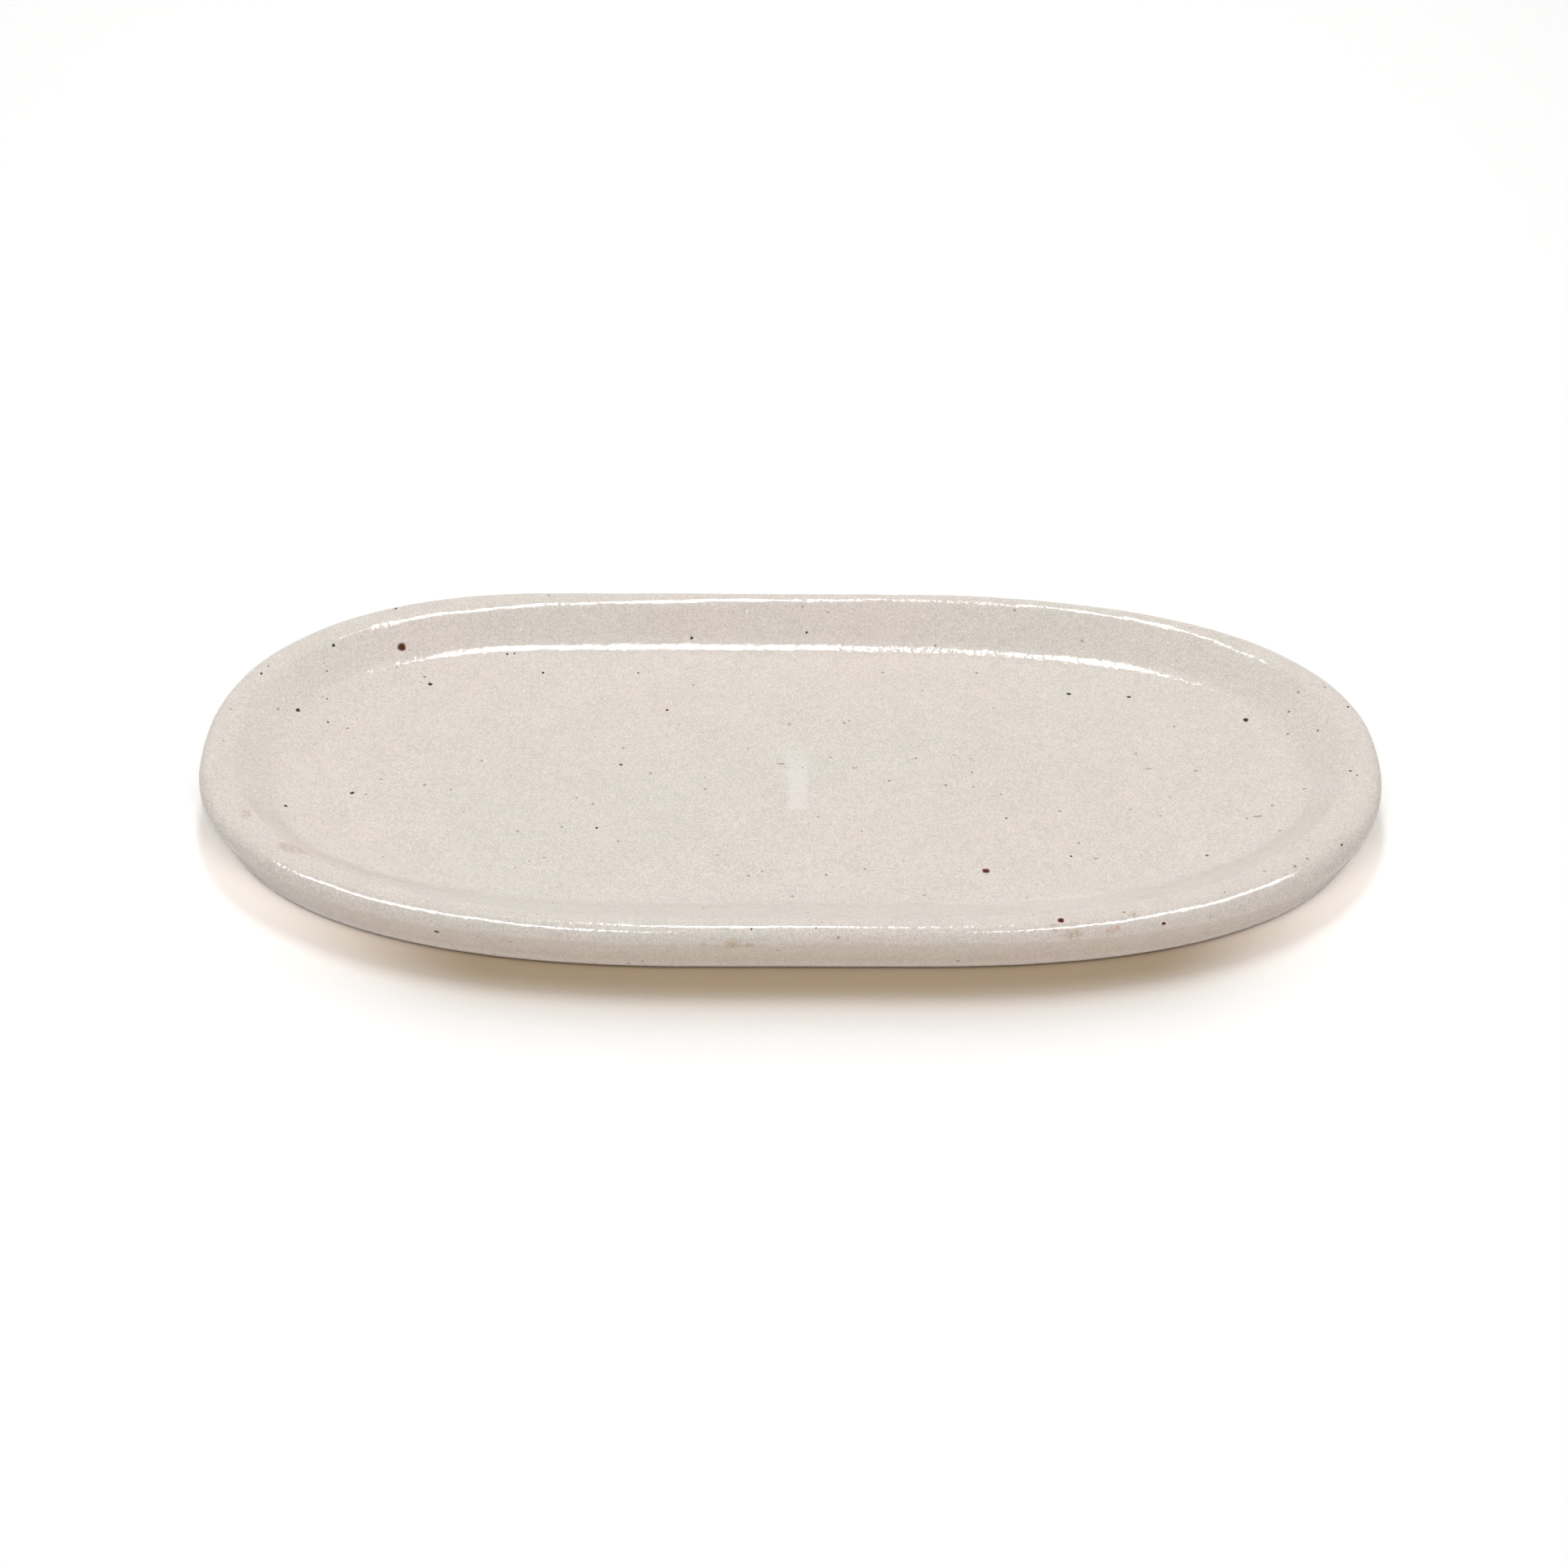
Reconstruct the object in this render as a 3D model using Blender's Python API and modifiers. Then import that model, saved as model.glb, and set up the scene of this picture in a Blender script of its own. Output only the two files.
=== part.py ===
"""Oval stoneware tray, pressed from one slab of speckled clay and coated in clear white glaze.

Run with blender --background --python part.py, or from Blender's text editor. Lengths are metres,
+Z is up, +X runs along the tray, and the origin is the middle of the foot on the table.

The tray has one kind of wall section, carried all round an oval plan. It was pressed by hand, so the
rim and the inside change their sizes round the plan. The section is drawn at the glaze's outer face,
and any depth below that face is the same section with parallel arcs. So the clay body and the glaze
coat come from the same named sizes and always nest.
"""

import math

import bmesh
import bpy
import numpy as np

COLLECTION = "oval_tray"

# Overall sizes, over the glaze
LENGTH = 0.250
WIDTH = 0.120
HEIGHT = 0.0145
FLOOR_HEIGHT = 0.0065

# Plan. Each end is a quarter of a superellipse on either side of the middle line, and each of the
# four quarters is a share of the tray's length. They differ a little because the slab was bent up
# by hand.
RIGHT_BACK_END_SHARE = 0.414
LEFT_BACK_END_SHARE = 0.302
LEFT_FRONT_END_SHARE = 0.428
RIGHT_FRONT_END_SHARE = 0.404
PLAN_POWER = 2.3

# Outer wall, over the glaze except for the foot's own curve. It is alike all round.
WALL_LEAN = math.radians(25.5)
FOOT_CURVE_RADIUS = 0.0050

# Rim and inside, over the glaze. The rim is narrow along the sides and broad at the ends, and the floor
# curls up towards the ends, most of all at the left-hand back corner. Each row is a bearing in degrees,
# anticlockwise from the right-hand tip as if the oval were a circle, and then the rim's outer radius,
# the width and the slope in degrees of its flat, its inner radius, the inset of the floor's edge, the
# floor fillet's radius, the floor's rise at its edge as a share of the dish's depth, and the width over
# which it rises.
SECTION_SIZES = (
    (0, 0.0024, 0.0024, 5, 0.0065, 0.0170, 0.0120, 0.2, 0.014),
    (22, 0.0022, 0.0024, 5, 0.0060, 0.0162, 0.0110, 0.25, 0.014),
    (40, 0.0020, 0.0022, 5, 0.0050, 0.0150, 0.0100, 0.25, 0.014),
    (50, 0.0018, 0.0010, 3, 0.0038, 0.0148, 0.0080, 0.075, 0.012),
    (62, 0.0018, 0.0003, 2, 0.0035, 0.0160, 0.0075, 0.0, 0.012),
    (90, 0.0018, 0.0007, 2, 0.0035, 0.0145, 0.0075, 0.0, 0.012),
    (102, 0.0018, 0.0012, 2, 0.0035, 0.0144, 0.0075, 0.0125, 0.012),
    (115, 0.0018, 0.0030, 3, 0.0038, 0.0147, 0.0075, 0.125, 0.014),
    (125, 0.0018, 0.0034, 4, 0.0045, 0.0150, 0.0085, 0.275, 0.015),
    (140, 0.0020, 0.0030, 5, 0.0042, 0.0146, 0.0090, 0.35, 0.018),
    (155, 0.0020, 0.0026, 5, 0.0042, 0.0148, 0.0095, 0.325, 0.018),
    (180, 0.0024, 0.0024, 5, 0.0060, 0.0166, 0.0120, 0.225, 0.014),
    (200, 0.0028, 0.0038, 3, 0.0055, 0.0180, 0.0110, 0.175, 0.013),
    (215, 0.0030, 0.0028, 3, 0.0045, 0.0160, 0.0095, 0.15, 0.012),
    (230, 0.0030, 0.0012, 2, 0.0045, 0.0175, 0.0110, 0.125, 0.013),
    (248, 0.0026, 0.0007, 2, 0.0050, 0.0190, 0.0130, 0.1, 0.014),
    (270, 0.0024, 0.0007, 2, 0.0055, 0.0200, 0.0140, 0.1, 0.014),
    (290, 0.0024, 0.0008, 2, 0.0055, 0.0200, 0.0140, 0.1, 0.014),
    (308, 0.0034, 0.0016, 3, 0.0055, 0.0195, 0.0130, 0.1, 0.013),
    (325, 0.0044, 0.0026, 4, 0.0060, 0.0190, 0.0125, 0.15, 0.012),
    (342, 0.0034, 0.0034, 5, 0.0065, 0.0180, 0.0125, 0.175, 0.013),
)
FULL_TURN = 360
# Each size is averaged over this many degrees on either side, at this many places.
BLENDING_REACH = 14
BLENDING_PLACES = 27
# Where both curves of the inner wall don't fit side by side, they are tightened until they do.
STEEPEST_SHARE = 0.96

# Glaze coat. It is wiped off below the glaze line, so that the foot stays bare.
GLAZE_THICKNESS = 0.00045
GLAZE_CLEARANCE = 0.0003
GLAZE_LINE_SLOPE = math.radians(54)

# Facets
QUARTER_SEGMENTS = 18
SIDE_SEGMENTS = 5
FOOT_STEPS = 4
GLAZED_FOOT_STEPS = 3
RIM_OUTER_STEPS = 4
RIM_INNER_STEPS = 4
FILLET_STEPS = 4
FLOOR_RISE_STEPS = 4

# Surfaces: linear colour, roughness, metallic
CLAY_FINISH = ((0.52, 0.39, 0.27, 1.0), 0.85, 0.0)
GLAZE_FINISH = ((0.74, 0.68, 0.62, 1.0), 0.18, 0.0)

COAT_DEPTH = GLAZE_THICKNESS + GLAZE_CLEARANCE
HORIZONTAL = 0.0
VERTICAL = math.pi / 2


def clear_scene():
    for old in list(bpy.data.objects):
        bpy.data.objects.remove(old)


def sizes_round(bearing):
    """The columns of the section sizes at each bearing, joined by straight lines between the rows.

    Each bearing then takes the average of its surroundings, weighted by one plus the cosine of the
    distance across the blending reach.
    """
    rows = np.array(SECTION_SIZES)
    across = np.linspace(-math.pi, math.pi, BLENDING_PLACES + 2)[1:-1]
    weights = 1 + np.cos(across)
    places = bearing[:, None] + BLENDING_REACH * across / math.pi
    sizes = [np.interp(places, rows[:, 0], column, period=FULL_TURN) for column in rows.T[1:]]
    return [size @ weights / weights.sum() for size in sizes]


def arc(centre, radius, start, end, steps):
    """Section points on an arc whose facing direction turns from start to end, a row to a point.

    The direction is measured up from the outward horizontal. The last axis is inset and height, and
    inset grows inward. A size that is alike all round may be given once.
    """
    centre_inset, centre_height, radius, start, end = np.broadcast_arrays(*centre, radius, start, end)
    turns = np.linspace(start, end, steps + 1)
    return np.stack([centre_inset - radius * np.cos(turns), centre_height + radius * np.sin(turns)], axis=-1)


def section(bearing, depth, lowest_slope, foot_steps):
    """The wall's section at a depth below the glaze's face, from the foot over the rim to the floor's edge.

    One section to a bearing, and the points lie along the first axis.
    """
    outer_radius, flat, slope, inner_radius, floor_inset, *inside = sizes_round(bearing)
    fillet_radius, rise_share, rise_width = inside
    rise = rise_share * (HEIGHT - FLOOR_HEIGHT)
    rim_top = VERTICAL + np.radians(slope)
    rim_outer_height = HEIGHT - outer_radius

    # The straight outer wall touches the rim's arc and the foot's arc, so its drop sets the foot's inset.
    full_foot_radius = FOOT_CURVE_RADIUS + COAT_DEPTH
    rim_touch_inset = outer_radius - outer_radius * math.cos(WALL_LEAN)
    foot_touch_height = FOOT_CURVE_RADIUS - full_foot_radius * math.sin(WALL_LEAN)
    wall_drop = rim_outer_height - outer_radius * math.sin(WALL_LEAN) - foot_touch_height
    foot_touch_inset = rim_touch_inset + wall_drop * math.tan(WALL_LEAN)
    foot_inset = foot_touch_inset + full_foot_radius * math.cos(WALL_LEAN)

    # The rim's flat slopes inward from the end of the outer arc.
    flat_end_inset = outer_radius - outer_radius * np.cos(rim_top) + flat * np.sin(rim_top)
    flat_end_height = rim_outer_height + outer_radius * np.sin(rim_top) + flat * np.cos(rim_top)

    # The floor rises to its edge as a parabola, and the fillet starts there at the same slope.
    edge_slope = np.arctan2(rise + rise, rise_width)
    fillet_end = edge_slope - VERTICAL

    # The inner wall is the straight line that touches the rim's inner arc and the fillet.
    room = floor_inset + fillet_radius * np.cos(fillet_end) - flat_end_inset - inner_radius * np.cos(rim_top)
    tighten = np.minimum(1, STEEPEST_SHARE * room / (inner_radius + fillet_radius))
    inner_radius = inner_radius * tighten
    fillet_radius = fillet_radius * tighten
    inner_centre_inset = flat_end_inset + inner_radius * np.cos(rim_top)
    inner_centre_height = flat_end_height - inner_radius * np.sin(rim_top)
    fillet_centre_inset = floor_inset + fillet_radius * np.cos(fillet_end)
    fillet_centre_height = FLOOR_HEIGHT + rise - fillet_radius * np.sin(fillet_end)
    across = fillet_centre_inset - inner_centre_inset
    down = fillet_centre_height - inner_centre_height
    reach = inner_radius + fillet_radius
    run = np.sqrt(across * across + down * down - reach * reach)
    inner_lean = np.arctan2(reach * down + run * across, reach * across - run * down)

    foot_centre = (foot_inset, FOOT_CURVE_RADIUS)
    rim_outer_centre = (outer_radius, rim_outer_height)
    rim_inner_centre = (inner_centre_inset, inner_centre_height)
    fillet_centre = (fillet_centre_inset, fillet_centre_height)
    facing_in = VERTICAL + VERTICAL - inner_lean
    points = [
        arc(foot_centre, full_foot_radius - depth, -lowest_slope, -WALL_LEAN, foot_steps),
        arc(rim_outer_centre, outer_radius - depth, -WALL_LEAN, rim_top, RIM_OUTER_STEPS),
        arc(rim_inner_centre, inner_radius - depth, rim_top, facing_in, RIM_INNER_STEPS),
        # The fillet is hollow, so its arc is seen from inside and grows with depth.
        arc(fillet_centre, fillet_radius + depth, -inner_lean, fillet_end, FILLET_STEPS),
    ]
    return np.concatenate(points)


def floor_rise(bearing, edge, depth):
    """Section points from the floor's edge in to the flat, along a parabola that starts at the edge point."""
    rise_width = sizes_round(bearing)[-1]
    share = np.linspace(0, 1, FLOOR_RISE_STEPS + 1)[1:, None]
    level = FLOOR_HEIGHT - depth
    height = level + (edge[:, 1] - level) * (1 - share) ** 2
    return np.stack([edge[:, 0] + rise_width * share, height], axis=-1)


def plan_outline():
    """Points of the tray's outline, anticlockwise from its right-hand tip, as (x, y, out_x, out_y) rows.

    Each quarter is the superellipse |x / end| ** power + |y / half width| ** power = 1, set at its own
    end of the tray. The two quarters of a long side are joined by its straight run.
    """
    turn = np.linspace(0, VERTICAL, QUARTER_SEGMENTS + 1)
    along, across = np.cos(turn), np.sin(turn)
    bulge = 2 / PLAN_POWER
    half_width = WIDTH / 2
    quarters = []
    for share, side_x, side_y in (
        (RIGHT_BACK_END_SHARE, 1, 1),
        (LEFT_BACK_END_SHARE, -1, 1),
        (LEFT_FRONT_END_SHARE, -1, -1),
        (RIGHT_FRONT_END_SHARE, 1, -1),
    ):
        end = share * LENGTH
        x = side_x * (LENGTH / 2 - end + end * along**bulge)
        y = side_y * half_width * across**bulge
        out_x = side_x * along ** (2 - bulge) / end
        out_y = side_y * across ** (2 - bulge) / half_width
        size = np.hypot(out_x, out_y)
        quarter = np.stack([x, y, out_x / size, out_y / size], axis=1)
        # Every other quarter runs from the side to the tip, where the next one starts again.
        quarters.append(quarter if side_x == side_y else quarter[:0:-1])
    right_back, left_back, left_front, right_front = quarters
    share = np.linspace(0, 1, SIDE_SEGMENTS + 1)[1:-1, None]
    back_run = right_back[-1] + share * (left_back[0] - right_back[-1])
    front_run = left_front[-1] + share * (right_front[0] - left_front[-1])
    return np.concatenate([right_back, back_run, left_back, left_front, front_run, right_front])


def carried_round(name, depth, lowest_slope, foot_steps, close_bottom):
    """A mesh object: the section carried round the outline, one ring of vertices to a section point.

    The last ring is filled with one flat face, and so is the first where close_bottom is set.
    """
    outline = plan_outline()
    x, y, out_x, out_y = outline.T
    bearing = np.degrees(np.arctan2(y / WIDTH, x / LENGTH))
    wall = section(bearing, depth, lowest_slope, foot_steps)
    inset, height = np.moveaxis(np.concatenate([wall, floor_rise(bearing, wall[-1], depth)]), -1, 0)
    places = np.stack([x - inset * out_x, y - inset * out_y, height], axis=-1)
    shape = bmesh.new()
    rings = [[shape.verts.new(place) for place in ring] for ring in places]
    for lower, upper in zip(rings, rings[1:]):
        for here in range(len(outline)):
            after = (here + 1) % len(outline)
            shape.faces.new((lower[here], lower[after], upper[after], upper[here]))
    shape.faces.new(rings[-1])
    if close_bottom:
        shape.faces.new(reversed(rings[0]))
    mesh = bpy.data.meshes.new(name)
    shape.to_mesh(mesh)
    shape.free()
    mesh.shade_smooth()
    return bpy.data.objects.new(name, mesh)


def finish(target, colour, roughness, metallic):
    """Gives an object a material of its own, named for it."""
    material = bpy.data.materials.new(target.name)
    material.use_nodes = True
    shader = material.node_tree.nodes["Principled BSDF"]
    shader.inputs["Base Color"].default_value = colour
    shader.inputs["Roughness"].default_value = roughness
    shader.inputs["Metallic"].default_value = metallic
    material.diffuse_color = colour
    target.data.materials.append(material)


def stoneware_body():
    """The fired slab: floor, raked wall, rounded rim and the bare flat foot."""
    body = carried_round("stoneware_body", COAT_DEPTH, VERTICAL, FOOT_STEPS, close_bottom=True)
    finish(body, *CLAY_FINISH)
    return body


def glaze_coat():
    """The glass skin over the inside, the rim and the outer wall, down to the glaze line above the foot."""
    coat = carried_round("glaze_coat", 0, GLAZE_LINE_SLOPE, GLAZED_FOOT_STEPS, close_bottom=False)
    thickness = coat.modifiers.new("glaze_thickness", "SOLIDIFY")
    thickness.thickness = GLAZE_THICKNESS
    thickness.offset = -1
    thickness.use_even_offset = True
    finish(coat, *GLAZE_FINISH)
    return coat


def main():
    clear_scene()
    tray = bpy.data.collections.new(COLLECTION)
    bpy.context.scene.collection.children.link(tray)
    for piece in (stoneware_body(), glaze_coat()):
        tray.objects.link(piece)


main()
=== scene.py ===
"""The oval stoneware tray: a pressed slab of sandy clay under a glossy white glaze with iron specks.

Lengths are metres, +Z is up, +X runs along the tray. Bearings are degrees round the plan, anticlockwise
from the right-hand tip, and are measured as if the oval were a circle.
"""

import math

import bpy
import numpy as np
from mathutils import Matrix, Vector
from mathutils.bvhtree import BVHTree


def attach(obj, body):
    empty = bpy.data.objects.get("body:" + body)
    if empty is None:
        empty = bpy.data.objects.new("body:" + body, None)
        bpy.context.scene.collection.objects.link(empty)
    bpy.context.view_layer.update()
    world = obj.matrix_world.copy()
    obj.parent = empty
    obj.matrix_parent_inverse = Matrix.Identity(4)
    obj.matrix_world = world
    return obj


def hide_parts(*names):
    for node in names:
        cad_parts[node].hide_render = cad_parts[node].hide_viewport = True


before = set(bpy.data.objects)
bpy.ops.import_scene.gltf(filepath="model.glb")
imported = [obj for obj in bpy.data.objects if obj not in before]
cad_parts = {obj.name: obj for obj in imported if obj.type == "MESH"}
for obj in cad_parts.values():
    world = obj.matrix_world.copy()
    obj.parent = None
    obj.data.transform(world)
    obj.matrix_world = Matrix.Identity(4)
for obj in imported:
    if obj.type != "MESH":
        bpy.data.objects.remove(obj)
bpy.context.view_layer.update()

MM = 0.001
FULL_TURN = 360
PHOTO_SIDE = 1932

# Overall sizes, over the glaze
LENGTH = 0.250
WIDTH = 0.120
HEIGHT = 0.0145
FLOOR_HEIGHT = 0.0065

# Plan: each quarter is a superellipse, and its reach along the tray is a share of the length.
RIGHT_BACK_END_SHARE = 0.414
LEFT_BACK_END_SHARE = 0.302
LEFT_FRONT_END_SHARE = 0.428
RIGHT_FRONT_END_SHARE = 0.404
PLAN_POWER = 2.3

# Wall section. The foot and the outer wall are alike all round.
OUTER_LEAN = math.radians(25.5)
FOOT_CURVE_RADIUS = 5.0 * MM
GLAZE_THICKNESS = 0.45 * MM
COAT_DEPTH = 0.75 * MM
GLAZE_LINE_SLOPE = math.radians(54)

# The rim and the inside were pressed by hand, so their sizes change round the plan. The rim is narrow
# along the sides and broad at the ends, and the floor curls up towards the ends, most of all at the
# left-hand back corner. Each row is a bearing and then, in millimetres and degrees:
# rim outer radius, rim width, rim slope, rim inner radius, floor edge inset, fillet radius,
# floor's rise at its edge, and the width over which it rises.
SECTION_SIZES = (
    (0, 2.4, 2.4, 5.0, 6.5, 17.0, 12.0, 1.6, 14.0),
    (22, 2.2, 2.4, 5.0, 6.0, 16.2, 11.0, 2.0, 14.0),
    (40, 2.0, 2.2, 5.0, 5.0, 15.0, 10.0, 2.0, 14.0),
    (50, 2.2, 0.6, 3.0, 3.8, 14.8, 8.0, 0.6, 12.0),
    (62, 2.4, 0.0, 2.0, 3.5, 16.0, 7.5, 0.0, 12.0),
    (90, 2.4, 0.1, 2.0, 3.5, 14.5, 7.5, 0.0, 12.0),
    (102, 2.4, 0.6, 2.0, 3.5, 14.4, 7.5, 0.1, 12.0),
    (115, 2.2, 2.6, 3.0, 3.8, 15.0, 7.5, 0.9, 14.0),
    (127, 2.0, 3.2, 4.0, 4.5, 15.6, 8.5, 1.9, 17.0),
    (140, 2.0, 3.0, 5.0, 4.2, 14.8, 9.5, 2.5, 19.0),
    (155, 2.0, 2.6, 5.0, 4.2, 14.8, 9.5, 2.6, 18.0),
    (180, 2.4, 2.4, 5.0, 6.0, 16.6, 12.0, 1.8, 14.0),
    (200, 2.8, 3.8, 3.0, 5.5, 18.0, 11.0, 1.4, 13.0),
    (215, 3.0, 2.8, 3.0, 4.5, 16.0, 9.5, 1.2, 12.0),
    (230, 3.0, 1.2, 2.0, 4.5, 17.5, 11.0, 1.0, 13.0),
    (248, 2.6, 0.7, 2.0, 5.0, 19.0, 13.0, 0.8, 14.0),
    (270, 2.4, 0.7, 2.0, 5.5, 20.0, 14.0, 0.8, 14.0),
    (290, 2.4, 0.8, 2.0, 5.5, 20.0, 14.0, 0.8, 14.0),
    (308, 3.4, 1.6, 3.0, 5.5, 19.5, 13.0, 0.8, 13.0),
    (325, 4.4, 2.6, 4.0, 6.0, 19.0, 12.5, 1.2, 12.0),
    (342, 3.4, 3.4, 5.0, 6.5, 18.0, 12.5, 1.4, 13.0),
)
# How far to each side of a bearing the sizes are averaged, in degrees, and at how many places
BLENDING_REACH = 14
BLENDING_PLACES = 29
# Where the rim and the fillet leave no room for a wall, both shrink to take this share of the width.
STEEPEST_SHARE = 0.96

# Waves left by the fingers, as (waves round the plan, height, phase, turns of phase down the section)
HAND_WAVES = (
    (7, 0.030 * MM, 0.4, 1.0),
    (13, 0.026 * MM, 2.1, -2.0),
    (23, 0.020 * MM, 4.0, 3.0),
    (41, 0.012 * MM, 1.3, -4.0),
    (67, 0.008 * MM, 5.2, 6.0),
)

# How fast the waves fade out at the glaze line and at the fillet's end, as a power of a sine
WAVE_FADE_POWER = 0.5
# How far the waves stay inside the overall length and width
SHY_OF_LIMIT = 0.012 * MM

# Points round the plan, and steps down the section for what is seen and for what lies hidden under it
RING_POINTS = 640
QUARTER_POINTS = 1200
FACE_DETAIL = 7
HIDDEN_DETAIL = 3
FACE_RINGS_NEAR = 8
FACE_RINGS_FAR = 22
HIDDEN_RINGS_NEAR = 3
HIDDEN_RINGS_FAR = 6
FOOT_CURVE_STEPS = 6
UNDERSIDE_STEPS = 25


def sizes_round(bearing):
    """Each column of the section sizes at each bearing, in metres and radians.

    The rows are joined by straight lines, and each bearing then takes the average of its surroundings,
    weighted by one plus the cosine across the blending reach.
    """
    rows = np.array(SECTION_SIZES)
    offsets = np.linspace(-1, 1, BLENDING_PLACES)[1:-1]
    weights = 1 + np.cos(np.pi * offsets)
    weights /= weights.sum()
    spread = bearing[:, None] + BLENDING_REACH * offsets
    bearings, *columns = rows.T
    columns = [np.interp(spread, bearings, column, period=FULL_TURN) @ weights for column in columns]
    outer, width, slope, *others = columns
    return outer * MM, width * MM, np.radians(slope), *(column * MM for column in others)


def plan_ring():
    """The outline, evenly spaced along its own length, as x, y, outward x, outward y and bearing.

    Each quarter is |x / end| ** power + |y / half width| ** power = 1, set at its own end of the tray.
    """
    turn = np.linspace(0, math.pi / 2, QUARTER_POINTS)
    along, across = np.cos(turn), np.sin(turn)
    along[-1] = 0.0
    bulge = 2 / PLAN_POWER
    quarters = []
    for share, side_x, side_y in (
        (RIGHT_BACK_END_SHARE, 1, 1),
        (LEFT_BACK_END_SHARE, -1, 1),
        (LEFT_FRONT_END_SHARE, -1, -1),
        (RIGHT_FRONT_END_SHARE, 1, -1),
    ):
        end = share * LENGTH
        x = side_x * (LENGTH / 2 - end + end * along**bulge)
        y = side_y * WIDTH / 2 * across**bulge
        out_x = side_x * along ** (2 - bulge) / end
        out_y = side_y * across ** (2 - bulge) / (WIDTH / 2)
        quarter = np.stack([x, y, out_x, out_y], axis=1)
        quarters.append(quarter if side_x == side_y else quarter[:0:-1])
    loop = np.concatenate(quarters + [quarters[0][:1]])
    steps = np.hypot(np.diff(loop[:, 0]), np.diff(loop[:, 1]))
    travelled = np.concatenate([[0.0], np.cumsum(steps)])
    stops = np.linspace(0, travelled[-1], RING_POINTS, endpoint=False)
    x, y, out_x, out_y = (np.interp(stops, travelled, loop[:, column]) for column in range(4))
    size = np.hypot(out_x, out_y)
    bearing = np.degrees(np.arctan2(y / WIDTH, x / LENGTH)) % FULL_TURN
    return x, y, out_x / size, out_y / size, bearing


def arc(centre_inset, centre_height, radius, start, end, steps):
    """Rows of an arc whose facing turns from start to end.

    Inset is the centre's less radius times cosine, and height the centre's plus radius times sine.
    """
    turn = start + (end - start) * np.linspace(0, 1, steps + 1)[:, None]
    return centre_inset - radius * np.cos(turn), centre_height + radius * np.sin(turn), turn


def straight(before, after, steps):
    """Rows between the last row of one arc and the first row of the next, facing as the two ends do."""
    share = np.linspace(0, 1, steps + 1)[1:-1, None]
    return tuple(a[-1] * (1 - share) + b[0] * share for a, b in zip(before, after))


def wall_section(bearing, depth, detail):
    """The section at a depth below the glaze's face: rows of inset, height and facing for each bearing.

    From the glaze line: foot curve, outer wall, rim's outer round, rim's flat, rim's inner round, inner
    wall and floor fillet. Each wall is the straight line that touches the curves on both of its sides.
    The fillet ends where it is as steep as the start of the floor's rise.
    """
    ones = np.ones(len(bearing))
    outer_radius, width, slope, inner_radius, *floor_sizes = sizes_round(bearing)
    floor_edge, fillet_radius, rise, rise_width = floor_sizes

    # Outer side, from the rim down
    lean = OUTER_LEAN
    top = math.pi / 2 + slope
    foot_radius = FOOT_CURVE_RADIUS + COAT_DEPTH
    rim_touch_inset = outer_radius * (1 - math.cos(lean))
    rim_touch_height = HEIGHT - outer_radius - outer_radius * math.sin(lean)
    foot_touch_height = FOOT_CURVE_RADIUS - foot_radius * math.sin(lean)
    foot_touch_inset = rim_touch_inset + (rim_touch_height - foot_touch_height) * math.tan(lean)
    foot_centre = foot_touch_inset + foot_radius * math.cos(lean)

    # Rim's flat, from the end of the outer round
    flat_end_inset = outer_radius - outer_radius * np.cos(top) + width * np.cos(slope)
    flat_end_height = HEIGHT - outer_radius + outer_radius * np.sin(top) - width * np.sin(slope)

    # The floor rises towards its edge as a parabola, and the fillet meets it at the same slope.
    edge_slope = np.arctan(2 * rise / rise_width)

    def centres(share):
        """Centres and radii of the rim's inner round and of the fillet, at this share of their sizes."""
        inner, fillet = share * inner_radius, share * fillet_radius
        shoulder = flat_end_inset + inner * np.cos(top), flat_end_height - inner * np.sin(top)
        hollow_height = FLOOR_HEIGHT + rise + fillet * np.cos(edge_slope)
        hollow = floor_edge + fillet * np.sin(edge_slope), hollow_height
        return shoulder, hollow, inner, fillet

    shoulder, hollow, inner, fillet = centres(ones)
    tighten = np.minimum(1.0, STEEPEST_SHARE * (hollow[0] - shoulder[0]) / (inner + fillet))
    shoulder, hollow, inner, fillet = centres(tighten)
    across, down = hollow[0] - shoulder[0], hollow[1] - shoulder[1]
    reach = inner + fillet
    run = np.sqrt(np.maximum(across**2 + down**2 - reach**2, 0.0))
    inner_lean = np.arctan2(reach * down + run * across, reach * across - run * down)

    glaze_line = -GLAZE_LINE_SLOPE * ones
    foot = arc(foot_centre, FOOT_CURVE_RADIUS, foot_radius - depth, glaze_line, -lean * ones, detail)
    rim_height = HEIGHT - outer_radius
    rim_outer = arc(outer_radius, rim_height, outer_radius - depth, -lean * ones, top, 2 * detail)
    rim_inner = arc(*shoulder, inner - depth, top, math.pi - inner_lean, 2 * detail)
    floor_side = arc(*hollow, fillet + depth, -inner_lean, edge_slope - math.pi / 2, 2 * detail)
    floor_side = (floor_side[0], floor_side[1], floor_side[2] + math.pi)
    parts = [
        foot,
        straight(foot, rim_outer, detail + 2),
        rim_outer,
        straight(rim_outer, rim_inner, detail),
        rim_inner,
        straight(rim_inner, floor_side, detail + 2),
        floor_side,
    ]
    return tuple(np.concatenate(rows) for rows in zip(*parts))


def hand_waves(bearing, rows):
    """Gentle unevenness in metres: waves round the plan whose phase turns down the section."""
    down = np.linspace(0, 1, rows)[:, None]
    turn = np.radians(bearing)[None, :]
    return sum(
        lift * np.sin(count * turn + phase + 2 * math.pi * drift * down)
        for count, lift, phase, drift in HAND_WAVES
    )


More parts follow.
